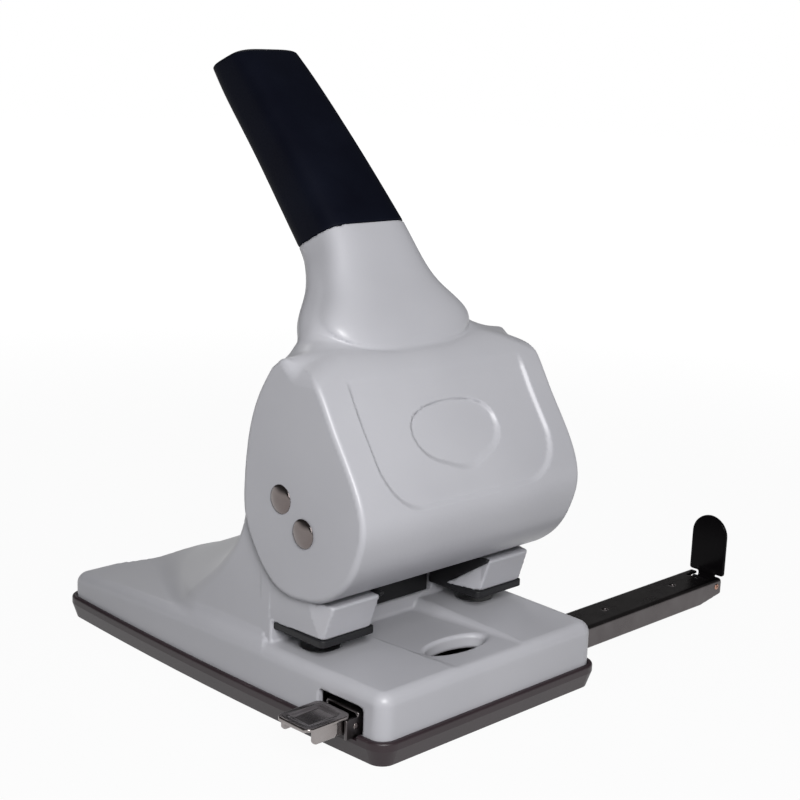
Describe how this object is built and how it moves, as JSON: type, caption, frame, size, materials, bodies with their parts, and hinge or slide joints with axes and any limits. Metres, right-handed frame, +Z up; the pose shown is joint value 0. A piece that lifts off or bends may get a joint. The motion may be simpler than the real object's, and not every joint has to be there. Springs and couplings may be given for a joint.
{
  "type": "two-hole lever punch",
  "caption": "Heavy two-hole paper punch: bowed base on a chip tray, broad lever head with an angled grip, twin punch beaks and a sliding paper guide.",
  "frame": {"origin": "on the surface it stands on, midway between the sides, 90 mm behind the base's front edge", "axes": "+X to the user's right, the way the paper guide slides out; +Y away from the user; +Z up"},
  "size_m": [0.2349, 0.188, 0.229],
  "materials": {
    "housing_paint": "satin light grey",
    "tray_plastic": "matt, very dark maroon brown",
    "grip_rubber": "soft matt black",
    "black_steel": "satin black",
    "bar_steel": "zinc plated",
    "pin_chrome": "bright",
    "tool_steel": "ground",
    "spring_steel": "drawn wire and strip",
    "screw_steel": "plated",
    "ruler_nickel": "dark nickel",
    "latch_chrome": "bright",
    "flap_black": "gloss black",
    "flap_pin_brass": "copper plated"
  },
  "bodies": {
    "frame": {"base_housing": "housing_paint", "punch_body": "housing_paint", "body_screws": "screw_steel", "punch_frame_left": "black_steel", "punch_frame_right": "black_steel", "frame_screws": "screw_steel", "guide_bush_left": "tool_steel", "guide_bush_right": "tool_steel", "die_left": "tool_steel", "die_right": "tool_steel", "paper_stop": "black_steel", "pivot_axle": "pin_chrome", "pivot_axle_cap": "pin_chrome", "return_spring_left": "spring_steel", "return_spring_right": "spring_steel", "ruler_guide_left": "ruler_nickel", "ruler_guide_right": "ruler_nickel", "guide_screws": "screw_steel", "ruler_spring": "spring_steel"},
    "lever": {"lever_shell": "housing_paint", "handle_core": "bar_steel", "core_pin": "tool_steel", "handle_grip": "grip_rubber", "drive_pin": "pin_chrome", "drive_pin_cap": "pin_chrome"},
    "carriage": {"drive_bar": "bar_steel", "punch_left": "tool_steel", "punch_right": "tool_steel", "punch_dowel_left": "tool_steel", "punch_dowel_right": "tool_steel", "punch_collar_left": "tool_steel", "punch_collar_right": "tool_steel"},
    "ruler": {"ruler_channel": "ruler_nickel", "latch_pin": "latch_chrome", "flap_pin": "flap_pin_brass"},
    "latch": {"ruler_latch": "latch_chrome"},
    "flap": {"end_stop_flap": "flap_black"},
    "tray": {"chip_tray": "tray_plastic"}
  },
  "joints": [
    {"name": "lever_press", "type": "hinge", "parent": "frame", "child": "lever", "pos_m": [0, -0.0489, 0.0712], "axis": [-1, 0, 0], "range_deg": [0, 50]},
    {"name": "punch_stroke", "type": "slide", "parent": "frame", "child": "carriage", "axis": [0, 0, -1], "range_m": [0, 0.0128], "stiffness_N_per_m": 2500, "springref_m": -0.012, "deforming": ["return_spring_left", "return_spring_right"]},
    {"name": "ruler_slide", "type": "slide", "parent": "frame", "child": "ruler", "axis": [1, 0, 0], "range_m": [-0.085, 0.004]},
    {"name": "latch_lift", "type": "hinge", "parent": "ruler", "child": "latch", "pos_m": [-0.057, -0.07115, 0.0124], "axis": [0, 1, 0], "range_deg": [0, 15]},
    {"name": "flap_fold", "type": "hinge", "parent": "ruler", "child": "flap", "pos_m": [0.1512, -0.07115, 0.014], "axis": [0, -1, 0], "range_deg": [0, 90]},
    {"name": "tray_drop", "type": "slide", "parent": "frame", "child": "tray", "axis": [0, 0, -1], "range_m": [0, 0.02]}
  ],
  "couplings": [
    {"joint": "punch_stroke", "follows": "lever_press", "m_per_rad": 0.014605}
  ]
}
